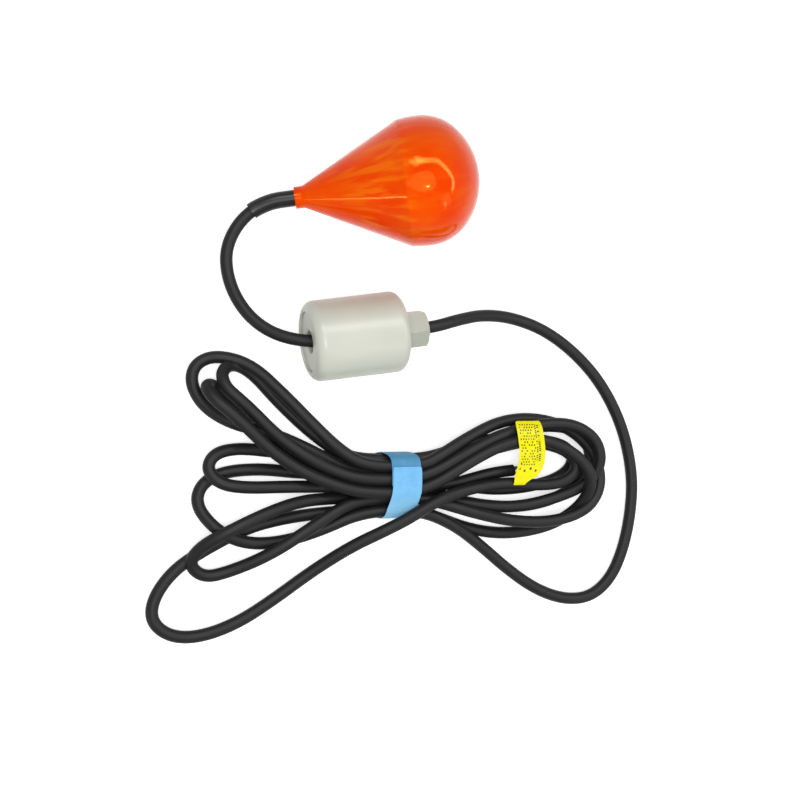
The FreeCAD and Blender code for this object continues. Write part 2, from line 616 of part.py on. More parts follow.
def cable():
    """The free lead, and the boot shrunk on its first stretch and into the neck."""
    route = lead_route()
    radii = share_radii(route)
    path = rounded(route, radii)
    lead = tube(path, CABLE_RADIUS)
    length = sum(edge.Length for edge in path)
    print("lead radii", [round(r) for r in radii])
    print("lead length", round(length), "volume ratio", lead.Volume / (math.pi * CABLE_RADIUS ** 2 * length))
    keep("cable", lead)
    inside = FLOAT.multVec(Vector(BOOT_INSERT, 0, 0))
    boot_path = rounded([inside] + route[1:], radii)
    boot_path = trimmed(boot_path, BOOT_INSERT + BOOT_LENGTH)
    keep("cable_boot", tube(boot_path, BOOT_RADIUS).cut(tube(boot_path, CABLE_RADIUS)))


def hank():
    """Outer shape of the tied turns: plan outline met by the side outline."""
    low, high = WAIST_SIDES
    left, right = WAIST
    plan = [(left, high)] + FAN_OUTLINE + [(left, low), (right, low)] + LOBE_OUTLINE + [(right, high)]
    body = closed_outline(plan).extrude(Vector(0, 0, HANK_TOP))
    far_left = min(x for x, y in FAN_OUTLINE)
    far_right = max(x for x, y in LOBE_OUTLINE)
    deep = min(y for x, y in FAN_OUTLINE)
    strap_left, strap_right = STRAP_SPAN
    side = [
        (far_left, 0), (strap_left, 0), (strap_left, STRAP_THICKNESS), (strap_right, STRAP_THICKNESS),
        (strap_right, 0), (far_right, 0), (far_right, HANK_RIGHT_END), (LOBE_OUTLINE[2][0], HANK_TOP),
        (left, HANK_TOP), (far_left, HANK_LOW_END)]
    corners = [Vector(x, deep, z) for x, z in side]
    slab = Part.Face(Part.makePolygon(corners + corners[:1])).extrude(Vector(0, -deep, 0))
    waist = strap_outline(0).cut(strap_outline(-STRAP_THICKNESS))
    outside = block((strap_left, 2 * low, 0), (strap_right, 0, 2 * HANK_TOP)).cut(strap_outline(0))
    keep("cable_hank", body.common(slab).cut(outside).cut(waist))
    keep("hank_strap", waist)


def strap_outline(offset):
    """Bar of the strap's outer outline across the waist, grown by an offset."""
    low, high = WAIST_SIDES
    left, right = STRAP_SPAN
    grow = STRAP_THICKNESS + offset
    corners = [
        Vector(left, low - grow, -offset), Vector(left, high + grow, -offset),
        Vector(left, high + grow, HANK_TOP + grow), Vector(left, low - grow, HANK_TOP + grow)]
    middle = (corners[0] + corners[-1]) / 2
    loop = [middle] + corners + [middle]
    wire = Part.Wire(rounded(loop, [STRAP_ROUNDING + offset] * 4))
    return Part.Face(wire).extrude(Vector(right - left, 0, 0))


def cable_label():
    """Printed sleeve's flag, lying on the turns."""
    corners = [Vector(x, y, HANK_TOP) for x, y in LABEL_OUTLINE]
    flag = Part.Face(Part.makePolygon(corners + corners[:1]))
    keep("cable_label", flag.extrude(Vector(0, 0, LABEL_THICKNESS)))


os.makedirs("parts", exist_ok=True)
float_shells()
cable_seal()
cable_clamp()
lead_inside()
capsule()
support_spider()
ball_and_race()
microswitch()
lever()
weight_shell()
weight_end_cap()
weight_core()
clamp_collet()
clamp_nut()
cable()
hank()
cable_label()
print("ball travel", round(BALL_TRAVEL, 3), "along", FLOAT.Rotation.multVec(X_AXIS))
print("lever pin", FLOAT.multVec(PIN_PLACE), "along", FLOAT.Rotation.multVec(Z_AXIS))
print("nut on", WEIGHT_MOUTH, "along", WEIGHT.Rotation.multVec(X_AXIS))
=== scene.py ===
"""Finishes of the float level switch: the lead and its tied hank, strap, label, boot and all surfaces.

Metres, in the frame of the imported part.  The lead is one spline from the float's neck to its bare end.
"""
import json
import math

import bmesh
import bpy
from mathutils import Matrix, Vector


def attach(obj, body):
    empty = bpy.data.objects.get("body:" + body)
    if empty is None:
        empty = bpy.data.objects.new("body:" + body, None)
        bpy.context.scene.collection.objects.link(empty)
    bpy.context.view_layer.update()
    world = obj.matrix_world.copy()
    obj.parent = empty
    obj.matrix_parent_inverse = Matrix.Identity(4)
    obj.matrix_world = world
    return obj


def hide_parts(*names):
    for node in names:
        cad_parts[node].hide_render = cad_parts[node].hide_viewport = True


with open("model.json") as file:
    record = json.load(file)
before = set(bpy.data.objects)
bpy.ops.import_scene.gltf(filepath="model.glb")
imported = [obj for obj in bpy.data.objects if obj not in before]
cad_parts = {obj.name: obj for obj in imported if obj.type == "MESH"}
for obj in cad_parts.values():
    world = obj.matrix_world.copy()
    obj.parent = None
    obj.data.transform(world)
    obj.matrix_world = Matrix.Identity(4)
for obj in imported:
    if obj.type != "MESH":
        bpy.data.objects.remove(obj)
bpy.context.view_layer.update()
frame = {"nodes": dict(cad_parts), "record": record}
scene = bpy.context.scene

LEAD_DIAMETER = 0.0084
NECK = (-0.044, 0.0339, 0.0174)
FLOAT_AXIS = Vector((0.9418, 0.1324, 0.3090))     # from the neck to the dome
FLOAT_RIDGE = 0.078                               # from the neck to where the cone meets the dome

# ---- camera ----
LEAN = math.radians(18.3)
CAMERA_DISTANCE = 0.9
CAMERA_ANGLE = math.radians(34.56)
AIM = Vector((0.0355, -0.101, 0.0))


def lean_frame(place):
    """A frame that looks down on the aim, leaning towards the neck's side."""
    back = Vector((-math.sin(LEAN), 0, math.cos(LEAN)))
    right = Vector((math.cos(LEAN), 0, math.sin(LEAN)))
    turn = Matrix((right, Vector((0, 1, 0)), back)).transposed().to_4x4()
    return Matrix.Translation(place + back * CAMERA_DISTANCE) @ turn


def add_camera():
    lens = bpy.data.cameras.new("camera")
    lens.sensor_width = lens.sensor_height = 36.0
    lens.angle = CAMERA_ANGLE
    camera = bpy.data.objects.new("camera", lens)
    camera.matrix_world = lean_frame(AIM)
    scene.collection.objects.link(camera)
    scene.camera = camera


# ---- the lead's route ----
LEAD_TO_WEIGHT = [
    (-0.044, 0.0339, 0.0174), (-0.0591, 0.0318, 0.0125), (-0.072, 0.0255, 0.0074),
    (-0.0825, 0.0135, 0.005), (-0.0885, -0.002, 0.0046), (-0.0875, -0.0185, 0.006),
    (-0.082, -0.0345, 0.01), (-0.072, -0.0485, 0.0152), (-0.057, -0.0585, 0.0215),
    (-0.0371, -0.0626, 0.0275), (-0.0212, -0.0605, 0.0275), (0.0363, -0.0529, 0.0275),
    (0.0521, -0.0508, 0.0275)]
LEAD_TO_HANK = [
    (0.0705, -0.0455, 0.023), (0.0925, -0.041, 0.013), (0.118, -0.042, 0.006),
    (0.1445, -0.0505, 0.0044), (0.1695, -0.0675, 0.0044), (0.191, -0.0905, 0.0044),
    (0.2075, -0.1215, 0.0044), (0.2155, -0.1565, 0.0044), (0.2135, -0.1865, 0.0044),
    (0.207, -0.2125, 0.0044), (0.197, -0.2325, 0.0044), (0.181, -0.245, 0.0044),
    (0.1605, -0.246, 0.0044), (0.138, -0.238, 0.0044), (0.116, -0.223, 0.0045),
    (0.0935, -0.204, 0.006), (0.071, -0.188, 0.012)]

# the strands lie in three layers under the strap: a layer's height, and the y of each of its
# strands, counted from the float's side
WAIST_LEFT, WAIST_RIGHT = 0.005, 0.045      # the x of both ends of a strand's straight stretch
LAYERS = {
    "low": (0.0044, (-0.142, -0.151, -0.160, -0.1685, -0.177)),
    "middle": (0.0129, (-0.142, -0.151, -0.160, -0.1685, -0.177)),
    "top": (0.0214, (-0.146, -0.155, -0.164))}


def waist(layer, strand, leftwards):
    """One strand's two points under the strap."""
    z, places = LAYERS[layer]
    ends = [(WAIST_LEFT, places[strand], z), (WAIST_RIGHT, places[strand], z)]
    return ends[::-1] if leftwards else ends


FIRST_LEFT_LOBE = [
    (-0.025, -0.190, 0.008), (-0.050, -0.197, 0.005), (-0.075, -0.197, 0.010), (-0.095, -0.188, 0.013),
    (-0.108, -0.172, 0.0044), (-0.106, -0.158, 0.0044), (-0.092, -0.149, 0.0044), (-0.065, -0.147, 0.0044),
    (-0.035, -0.151, 0.0044)]
FIRST_RIGHT_LOBE = [
    (0.090, -0.164, 0.0044), (0.120, -0.165, 0.0044), (0.150, -0.160, 0.0044), (0.166, -0.150, 0.0044),
    (0.166, -0.138, 0.0044), (0.152, -0.131, 0.0044), (0.130, -0.130, 0.0044), (0.100, -0.137, 0.0044),
    (0.070, -0.142, 0.0044)]
SECOND_LEFT_LOBE = [
    (-0.025, -0.139, 0.0044), (-0.055, -0.136, 0.0044), (-0.080, -0.133, 0.006), (-0.097, -0.136, 0.011),
    (-0.103, -0.146, 0.014), (-0.095, -0.156, 0.017), (-0.078, -0.159, 0.018), (-0.050, -0.159, 0.014),
    (-0.020, -0.160, 0.007)]
SECOND_RIGHT_LOBE = [
    (0.070, -0.170, 0.0044), (0.095, -0.176, 0.0044), (0.125, -0.178, 0.0044), (0.152, -0.173, 0.0044),
    (0.173, -0.161, 0.0044), (0.182, -0.145, 0.0044), (0.177, -0.128, 0.0044), (0.160, -0.120, 0.0044),
    (0.135, -0.120, 0.0044), (0.113, -0.125, 0.0044), (0.098, -0.130, 0.0085),
    (0.085, -0.137, 0.0125), (0.068, -0.146, 0.0129)]
THIRD_LEFT_LOBE = [
    (-0.015, -0.144, 0.0129), (-0.038, -0.132, 0.0129), (-0.062, -0.122, 0.0129), (-0.085, -0.117, 0.012),
    (-0.103, -0.106, 0.006), (-0.112, -0.090, 0.0044), (-0.109, -0.077, 0.0044), (-0.095, -0.071, 0.005),
    (-0.072, -0.077, 0.009), (-0.050, -0.098, 0.013), (-0.032, -0.117, 0.017), (-0.014, -0.135, 0.021)]
THIRD_RIGHT_LOBE = [
    (0.060, -0.138, 0.0205), (0.080, -0.127, 0.017), (0.105, -0.116, 0.0135), (0.130, -0.1135, 0.0129),
    (0.155, -0.119, 0.0129), (0.174, -0.132, 0.0129), (0.184, -0.150, 0.0129), (0.183, -0.167, 0.015),
    (0.170, -0.181, 0.0175), (0.145, -0.188, 0.0175), (0.115, -0.187, 0.018), (0.085, -0.180, 0.019),
    (0.063, -0.173, 0.016)]
FOURTH_LEFT_LOBE = [
    (-0.012, -0.174, 0.015), (-0.035, -0.188, 0.018), (-0.060, -0.204, 0.014), (-0.085, -0.215, 0.006),
    (-0.103, -0.219, 0.0045), (-0.114, -0.209, 0.008), (-0.107, -0.197, 0.015), (-0.090, -0.187, 0.0225),
    (-0.065, -0.176, 0.021), (-0.040, -0.169, 0.013), (-0.015, -0.168, 0.006)]
FOURTH_RIGHT_LOBE = [
    (0.065, -0.170, 0.010), (0.092, -0.176, 0.0129), (0.122, -0.177, 0.0129), (0.150, -0.171, 0.0129),
    (0.172, -0.163, 0.013), (0.182, -0.148, 0.020), (0.178, -0.130, 0.0215), (0.162, -0.119, 0.0215),
    (0.140, -0.117, 0.020), (0.110, -0.123, 0.0205), (0.080, -0.136, 0.0214)]
FIFTH_LEFT_LOBE = [
    (-0.015, -0.150, 0.0214), (-0.037, -0.139, 0.0214), (-0.057, -0.125, 0.0214), (-0.074, -0.108, 0.0215),
    (-0.083, -0.100, 0.0215), (-0.092, -0.092, 0.020), (-0.093, -0.082, 0.013), (-0.084, -0.0765, 0.006),
    (-0.071, -0.082, 0.0045), (-0.052, -0.103, 0.0045), (-0.031, -0.123, 0.007), (-0.012, -0.137, 0.011)]
FIFTH_RIGHT_LOBE = [
    (0.063, -0.138, 0.0135), (0.085, -0.130, 0.0145), (0.110, -0.128, 0.0145), (0.135, -0.131, 0.0155),
    (0.156, -0.137, 0.018), (0.165, -0.149, 0.018), (0.156, -0.160, 0.015), (0.135, -0.162, 0.0145),
    (0.110, -0.159, 0.017), (0.082, -0.162, 0.0205), (0.057, -0.169, 0.0225)]
LONG_LEFT_LOBE = [
    (0.035, -0.181, 0.025), (0.018, -0.189, 0.0245), (-0.005, -0.200, 0.018), (-0.030, -0.217, 0.008),
    (-0.055, -0.235, 0.0044), (-0.080, -0.250, 0.0044), (-0.105, -0.258, 0.0044), (-0.125, -0.257, 0.0044),
    (-0.138, -0.246, 0.0044), (-0.136, -0.230, 0.0044), (-0.122, -0.212, 0.0044), (-0.100, -0.199, 0.0044),
    (-0.075, -0.187, 0.0044), (-0.050, -0.181, 0.0044), (-0.022, -0.178, 0.0044)]
SIXTH_RIGHT_LOBE = [
    (0.063, -0.184, 0.0044), (0.087, -0.193, 0.0044), (0.115, -0.197, 0.0044), (0.145, -0.193, 0.0044),
    (0.163, -0.184, 0.007), (0.171, -0.172, 0.017), (0.172, -0.158, 0.0255), (0.165, -0.145, 0.026),
    (0.150, -0.134, 0.025), (0.130, -0.128, 0.0245), (0.105, -0.131, 0.0245), (0.080, -0.143, 0.024)]
LAST_LEFT_LOBE = [
    (-0.015, -0.159, 0.0214), (-0.038, -0.150, 0.0214), (-0.060, -0.136, 0.0225), (-0.078, -0.119, 0.025),
    (-0.090, -0.108, 0.026), (-0.099, -0.101, 0.0245), (-0.104, -0.093, 0.018), (-0.100, -0.090, 0.009),
    (-0.090, -0.095, 0.0045), (-0.076, -0.112, 0.0045), (-0.063, -0.128, 0.008),
    (-0.046, -0.142, 0.0125), (-0.018, -0.156, 0.0129)]
TAIL = [(0.070, -0.160, 0.012), (0.090, -0.155, 0.011), (0.105, -0.152, 0.010), (0.117, -0.151, 0.0095)]

LEAD_ROUTE = (
    LEAD_TO_WEIGHT + LEAD_TO_HANK
    + waist("middle", 4, True) + FIRST_LEFT_LOBE + waist("low", 1, False) + FIRST_RIGHT_LOBE
    + waist("low", 0, True) + SECOND_LEFT_LOBE + waist("low", 2, False) + SECOND_RIGHT_LOBE
    + waist("middle", 1, True) + THIRD_LEFT_LOBE + waist("top", 0, False) + THIRD_RIGHT_LOBE
    + waist("middle", 3, True) + FOURTH_LEFT_LOBE + waist("low", 3, False) + FOURTH_RIGHT_LOBE
    + waist("top", 1, True) + FIFTH_LEFT_LOBE + waist("middle", 0, False) + FIFTH_RIGHT_LOBE
    + LONG_LEFT_LOBE + waist("low", 4, False) + SIXTH_RIGHT_LOBE
    + waist("top", 2, True) + LAST_LEFT_LOBE + waist("middle", 2, False) + TAIL)


def lead():
    """The whole lead as one smooth curve, with a round jacket."""
    curve = bpy.data.curves.new("lead", "CURVE")
    curve.dimensions = "3D"
    curve.resolution_u = 7
    curve.bevel_depth = LEAD_DIAMETER / 2
    curve.bevel_resolution = 6
    curve.use_fill_caps = True
    spline = curve.splines.new("NURBS")
    spline.points.add(len(LEAD_ROUTE) - 1)
    for point, place in zip(spline.points, LEAD_ROUTE):
        point.co = (*place, 1)
    spline.order_u = 3
    spline.use_endpoint_u = True
    curve.materials.append(finishes["lead_jacket"])
    jacket = bpy.data.objects.new("lead", curve)
    scene.collection.objects.link(jacket)
    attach(jacket, "root")
    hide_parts("cable", "cable_hank")
    ends = lead_ends()


CORE_RADIUS = 0.0012
CORE_RING = 0.0021                              # from the lead's middle to each core's
CORE_REACH = (-0.006, -0.002, 0.002, 0.005)     # along the lead, from inside the jacket to the tips
CORE_SPREAD = 40                                # how fast the cores part outside it, per metre


def lead_ends():
    """Three cut cores that show in the jacket's far end."""
    end = Vector(LEAD_ROUTE[-1])
    along = (end - Vector(LEAD_ROUTE[-2])).normalized()
    side = along.cross(Vector((0, 0, 1))).normalized()
    up = side.cross(along)
    pieces = []
    for number, name in enumerate(("core_brown", "core_blue", "core_black")):
        angle = number * math.tau / 3
        off = (side * math.cos(angle) + up * math.sin(angle)) * CORE_RING
        curve = bpy.data.curves.new("cut_" + name, "CURVE")
        curve.dimensions = "3D"
        curve.bevel_depth = CORE_RADIUS
        curve.bevel_resolution = 4
        curve.use_fill_caps = True
        spline = curve.splines.new("NURBS")
        spline.points.add(len(CORE_REACH) - 1)
        for point, reach in zip(spline.points, CORE_REACH):
            spread = off * (1 + CORE_SPREAD * max(reach, 0))
            point.co = (*(end + along * reach + spread), 1)
        spline.order_u = 3
        spline.use_endpoint_u = True
        curve.materials.append(finishes[name])
        piece = bpy.data.objects.new("cut_" + name, curve)
        scene.collection.objects.link(piece)
        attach(piece, "root")
        pieces.append(piece)
    return pieces


# ---- surface effects that several finishes share ----
def effect(name, inputs, outputs):
    """A node group with named sockets: (name, default) in, names with their kinds out."""
    group = bpy.data.node_groups.new(name, "ShaderNodeTree")
    for title, default in inputs:
        kind = "NodeSocketColor" if isinstance(default, tuple) else "NodeSocketFloat"
        socket = group.interface.new_socket(title, in_out="INPUT", socket_type=kind)
        socket.default_value = default
    for title, kind in outputs:
        group.interface.new_socket(title, in_out="OUTPUT", socket_type=kind)
    start = group.nodes.new("NodeGroupInput")
    end = group.nodes.new("NodeGroupOutput")
    return group, start, end


def node(tree, kind, **settings):
    made = tree.nodes.new(kind)
    for name, value in settings.items():
        setattr(made, name, value)
    return made


def noise(tree, scale, detail=3.0, roughness=0.5, stretch=None):
    """Noise on the object's own coordinates, stretched along one way if asked."""
    place = node(tree, "ShaderNodeTexCoord")
    texture = node(tree, "ShaderNodeTexNoise")
    texture.inputs["Scale"].default_value = scale
    texture.inputs["Detail"].default_value = detail
    texture.inputs["Roughness"].default_value = roughness
    source = place.outputs["Object"]
    if stretch:
        mapping = node(tree, "ShaderNodeMapping")
        mapping.inputs["Scale"].default_value = stretch
        tree.links.new(source, mapping.inputs["Vector"])
        source = mapping.outputs["Vector"]
    tree.links.new(source, texture.inputs["Vector"])
    return texture.outputs["Fac"]


def span(tree, source, low, high, to_low, to_high):
    """A value carried from one span to another, held at its ends."""
    made = node(tree, "ShaderNodeMapRange")
    for title, value in (("From Min", low), ("From Max", high), ("To Min", to_low), ("To Max", to_high)):
        put(tree, made.inputs[title], value)
    put(tree, made.inputs["Value"], source)
    return made.outputs["Result"]


def put(tree, socket, value):
    if isinstance(value, bpy.types.NodeSocket):
        tree.links.new(value, socket)
    else:
        socket.default_value = value


def blend_colours(tree, factor, first, second):
    made = node(tree, "ShaderNodeMix", data_type="RGBA")
    put(tree, made.inputs[0], factor)
    put(tree, made.inputs[6], first)
    put(tree, made.inputs[7], second)
    return made.outputs[2]


def product(tree, first, second, operation="MULTIPLY"):
    made = node(tree, "ShaderNodeMath", operation=operation)
    put(tree, made.inputs[0], first)
    put(tree, made.inputs[1], second)
    return made.outputs[0]


def moulding_effect():
    """Cloudy colour of moulded plastic, with faint waves and fine scuffs."""
    group, start, end = effect(
        "moulding",
        (("Colour", (0.8, 0.8, 0.8, 1.0)), ("Cloud Colour", (0.7, 0.7, 0.7, 1.0)), ("Cloudiness", 0.5),
         ("Gloss Roughness", 0.2), ("Scuffs", 0.1), ("Wave Height", 0.1)),
        (("Colour", "NodeSocketColor"), ("Roughness", "NodeSocketFloat"), ("Height", "NodeSocketFloat")))
    clouds = noise(group, 38, 2)
    cloud_mask = product(group, span(group, clouds, 0.35, 0.65, 0, 1), start.outputs["Cloudiness"])
    colour = blend_colours(group, cloud_mask, start.outputs["Colour"], start.outputs["Cloud Colour"])
    scuffs = noise(group, 900, 5, 0.65)
    scuff_mask = span(group, scuffs, 0.52, 0.72, 0, 1)
    rough = product(group, product(group, scuff_mask, start.outputs["Scuffs"]),
                    start.outputs["Gloss Roughness"], "ADD")
    waves = product(group, noise(group, 28, 1), start.outputs["Wave Height"])
    grain = product(group, scuff_mask, 0.003)
    group.links.new(colour, end.inputs["Colour"])
    group.links.new(rough, end.inputs["Roughness"])
    group.links.new(product(group, waves, grain, "ADD"), end.inputs["Height"])
    return group


def handling_effect():
    """Pale dust and rub marks on rubber, in long soft patches."""
    group, start, end = effect(
        "handling",
        (("Colour", (0.03, 0.03, 0.03, 1.0)), ("Dust Colour", (0.1, 0.1, 0.1, 1.0)), ("Dust", 0.3),
         ("Base Roughness", 0.55), ("Grain", 0.2)),
        (("Colour", "NodeSocketColor"), ("Roughness", "NodeSocketFloat"), ("Height", "NodeSocketFloat")))
    patches = span(group, noise(group, 60, 4, 0.6), 0.45, 0.75, 0, 1)
    specks = span(group, noise(group, 1400, 2), 0.55, 0.75, 0.3, 1)
    dust = product(group, product(group, patches, specks), start.outputs["Dust"])
    colour = blend_colours(group, dust, start.outputs["Colour"], start.outputs["Dust Colour"])
    rough = product(group, product(group, patches, 0.12), start.outputs["Base Roughness"], "ADD")
    grain = product(group, noise(group, 2200, 3), start.outputs["Grain"])
    group.links.new(colour, end.inputs["Colour"])
    group.links.new(rough, end.inputs["Roughness"])
    group.links.new(grain, end.inputs["Height"])
    return group


def machining_effect():
    """Fine lines and stains of worked metal."""
    group, start, end = effect(
        "machining",
        (("Colour", (0.6, 0.6, 0.6, 1.0)), ("Stain Colour", (0.4, 0.38, 0.35, 1.0)), ("Stains", 0.3),
         ("Base Roughness", 0.25), ("Lines", 0.2)),
        (("Colour", "NodeSocketColor"), ("Roughness", "NodeSocketFloat"), ("Height", "NodeSocketFloat")))
    stains = product(group, span(group, noise(group, 150, 4, 0.6), 0.45, 0.7, 0, 1), start.outputs["Stains"])
    colour = blend_colours(group, stains, start.outputs["Colour"], start.outputs["Stain Colour"])
    lines = noise(group, 500, 2, 0.5, stretch=(8, 1, 1))
    rough = product(group, product(group, lines, 0.2), start.outputs["Base Roughness"], "ADD")
    group.links.new(colour, end.inputs["Colour"])
    group.links.new(rough, end.inputs["Roughness"])
    group.links.new(product(group, lines, start.outputs["Lines"]), end.inputs["Height"])
    return group


effects = {"moulding": moulding_effect(), "handling": handling_effect(), "machining": machining_effect()}


# ---- finishes ----
def surface(name, effect_name, bump, constants, **values):
    """A material whose colour, roughness and bump come from one effect."""
    material = bpy.data.materials.new(name)
    material.use_nodes = True
    tree = material.node_tree
    shader = tree.nodes["Principled BSDF"]
    source = node(tree, "ShaderNodeGroup", node_tree=effects[effect_name])
    for title, value in values.items():
        source.inputs[title.replace("_", " ")].default_value = value
    for title, value in constants.items():
        shader.inputs[title].default_value = value
    relief = node(tree, "ShaderNodeBump")
    relief.inputs["Strength"].default_value = 1.0
    relief.inputs["Distance"].default_value = bump
    tree.links.new(source.outputs["Height"], relief.inputs["Height"])
    tree.links.new(source.outputs["Colour"], shader.inputs["Base Color"])
    tree.links.new(source.outputs["Roughness"], shader.inputs["Roughness"])
    tree.links.new(relief.outputs["Normal"], shader.inputs["Normal"])
    return material


def lead_jacket():
    return surface("lead_jacket", "handling", 0.00003,
                   {"Specular IOR Level": 0.16, "Sheen Weight": 0.02, "Sheen Roughness": 0.4},
                   Colour=(0.0085, 0.0085, 0.0092, 1), Dust_Colour=(0.035, 0.035, 0.037, 1), Dust=0.3,
                   Base_Roughness=0.5, Grain=0.25)


def float_plastic():
    """Deep orange moulding with paler streaks painted from the neck over the cone: painted highlights that
    stand in for the lamps' reflections.
    """
    material = surface("float_plastic", "moulding", 0.0002,
                       {"IOR": 1.36, "Specular Tint": (1.0, 0.45, 0.06, 1)},
                       Colour=(0.95, 0.05, 0.0, 1), Cloud_Colour=(1.0, 0.1, 0.0, 1), Cloudiness=0.7,
                       Gloss_Roughness=0.08, Scuffs=0.04, Wave_Height=0.6)
    tree = material.node_tree
    shader = tree.nodes["Principled BSDF"]
    plain = shader.inputs["Base Color"].links[0].from_socket
    place = node(tree, "ShaderNodeTexCoord")
    level = node(tree, "ShaderNodeMapping", vector_type="TEXTURE")
    level.inputs["Location"].default_value = NECK
    level.inputs["Rotation"].default_value = Vector((1, 0, 0)).rotation_difference(FLOAT_AXIS).to_euler()
    tree.links.new(place.outputs["Object"], level.inputs["Vector"])
    parts = node(tree, "ShaderNodeSeparateXYZ")
    tree.links.new(level.outputs["Vector"], parts.inputs[0])
    spoke = node(tree, "ShaderNodeCombineXYZ")
    tree.links.new(parts.outputs["Y"], spoke.inputs["Y"])
    tree.links.new(parts.outputs["Z"], spoke.inputs["Z"])
    round_axis = node(tree, "ShaderNodeVectorMath", operation="NORMALIZE")
    tree.links.new(spoke.outputs[0], round_axis.inputs[0])
    drift = node(tree, "ShaderNodeCombineXYZ")
    tree.links.new(product(tree, parts.outputs["X"], 6.0), drift.inputs["X"])
    line_place = node(tree, "ShaderNodeVectorMath", operation="ADD")
    tree.links.new(round_axis.outputs[0], line_place.inputs[0])
    tree.links.new(drift.outputs[0], line_place.inputs[1])
    lines = node(tree, "ShaderNodeTexNoise")
    lines.inputs["Scale"].default_value = 6.5
    lines.inputs["Detail"].default_value = 2.5
    tree.links.new(line_place.outputs[0], lines.inputs["Vector"])
    # painted highlight: paler streaks round the cone's axis, colour that stands in for reflections of the
    # lamps
    painted_highlight_streaks = span(tree, lines.outputs["Fac"], 0.48, 0.62, 0, 1)
    reach = product(tree, span(tree, parts.outputs["X"], 0.01, 0.05, 0, 1),
                    span(tree, parts.outputs["X"], FLOAT_RIDGE - 0.004, FLOAT_RIDGE + 0.004, 1, 0.25))
    mask = product(tree, product(tree, painted_highlight_streaks, reach), 0.8)
    # the paler orange of the painted highlight streaks, strongest on the cone and faint on the dome
    put(tree, shader.inputs["Base Color"], blend_colours(tree, mask, plain, (1.0, 0.17, 0.003, 1)))
    return material


def weight_plastic():
    return surface("weight_plastic", "moulding", 0.0002,
                   {"Specular IOR Level": 0.35, "Coat Weight": 0.05, "Coat Roughness": 0.3},
                   Colour=(0.66, 0.68, 0.585, 1), Cloud_Colour=(0.6, 0.62, 0.54, 1), Cloudiness=0.5,
                   Gloss_Roughness=0.36, Scuffs=0.05, Wave_Height=0.5)


def nut_plastic():
    return surface("nut_plastic", "moulding", 0.00015,
                   {"Specular IOR Level": 0.4, "Coat Weight": 0.1, "Coat Roughness": 0.2},
                   Colour=(0.46, 0.49, 0.41, 1), Cloud_Colour=(0.5, 0.53, 0.44, 1), Cloudiness=0.6,
                   Gloss_Roughness=0.3, Scuffs=0.05, Wave_Height=0.3)


def plain_plastic(name, colour, cloud, roughness):
    return surface(name, "moulding", 0.0001, {}, Colour=(*colour, 1), Cloud_Colour=(*cloud, 1),
                   Cloudiness=0.5, Gloss_Roughness=roughness, Scuffs=0.15, Wave_Height=0.15)


def rubber(name, colour, roughness):
    dust = tuple(min(1, 2.2 * value + 0.02) for value in colour)
    return surface(name, "handling", 0.00002, {"Specular IOR Level": 0.22}, Colour=(*colour, 1),
                   Dust_Colour=(*dust, 1), Dust=0.25, Base_Roughness=roughness, Grain=0.2)


def metal(name, colour, stain, roughness):
    return surface(name, "machining", 0.00002, {"Metallic": 1.0}, Colour=(*colour, 1),
                   Stain_Colour=(*stain, 1), Stains=0.35, Base_Roughness=roughness, Lines=0.3)


finishes = {
    "float_plastic": float_plastic(),
    "lead_jacket": lead_jacket(),
    "boot": rubber("boot", (0.009, 0.009, 0.0095), 0.3),
    "seal_rubber": rubber("seal_rubber", (0.03, 0.03, 0.03), 0.6),
    "inner_plastic": plain_plastic("inner_plastic", (0.72, 0.72, 0.68), (0.64, 0.64, 0.6), 0.4),
    "steel": metal("steel", (0.6, 0.6, 0.61), (0.42, 0.4, 0.38), 0.18),
    "core_brown": plain_plastic("core_brown", (0.2, 0.075, 0.03), (0.15, 0.05, 0.02), 0.4),
    "core_blue": plain_plastic("core_blue", (0.03, 0.14, 0.5), (0.02, 0.1, 0.4), 0.4),
    "core_black": plain_plastic("core_black", (0.02, 0.02, 0.02), (0.035, 0.035, 0.035), 0.4),
    "race_plastic": plain_plastic("race_plastic", (0.78, 0.78, 0.76), (0.7, 0.7, 0.69), 0.38),
    "switch_plastic": plain_plastic("switch_plastic", (0.07, 0.07, 0.08), (0.1, 0.1, 0.11), 0.42),
    "plunger": plain_plastic("plunger", (0.5, 0.05, 0.03), (0.42, 0.04, 0.02), 0.35),
    "brass": metal("brass", (0.72, 0.55, 0.24), (0.45, 0.3, 0.12), 0.25),
    "weight_plastic": weight_plastic(),
    "iron": metal("iron", (0.2, 0.19, 0.185), (0.16, 0.07, 0.03), 0.5),
    "nut_plastic": nut_plastic(),
}


def dress_nodes():
    """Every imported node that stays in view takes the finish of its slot."""
    for part in frame["record"]["subparts"]:
        finish = finishes.get(part["material_slot"])
        if finish:
            mesh = frame["nodes"][part["node"]].data
            mesh.materials.clear()
            mesh.materials.append(finish)


# ---- strap ----
# once round the waist from the free end on top, down the side away from the float, under the
# strands and back over them: (y, z)
STRAP_PATH = [
    (-0.146, 0.0275), (-0.152, 0.0277), (-0.158, 0.0276), (-0.164, 0.0272), (-0.170, 0.0240),
    (-0.175, 0.0205), (-0.180, 0.0180), (-0.1822, 0.0135), (-0.1824, 0.0080), (-0.1815, 0.0020),
    (-0.177, 0.0006), (-0.165, 0.0005), (-0.150, 0.0005), (-0.141, 0.0010), (-0.137, 0.0050),
    (-0.1368, 0.0140), (-0.1385, 0.0225), (-0.142, 0.0258), (-0.148, 0.0264), (-0.154, 0.0264),
    (-0.161, 0.0262)]
STRAP_WIDTH = 0.021
STRAP_X = 0.0245        # the strap's middle on the floor
STRAP_LEAN = 0.0075     # how far its middle leans over at the top
STRAP_TOP = max(z for _, z in STRAP_PATH)


def across(x, y, z, width):
    """A ribbon's row of a width, level, with its middle at a place."""
    return x - width / 2, y, x + width / 2, y, z


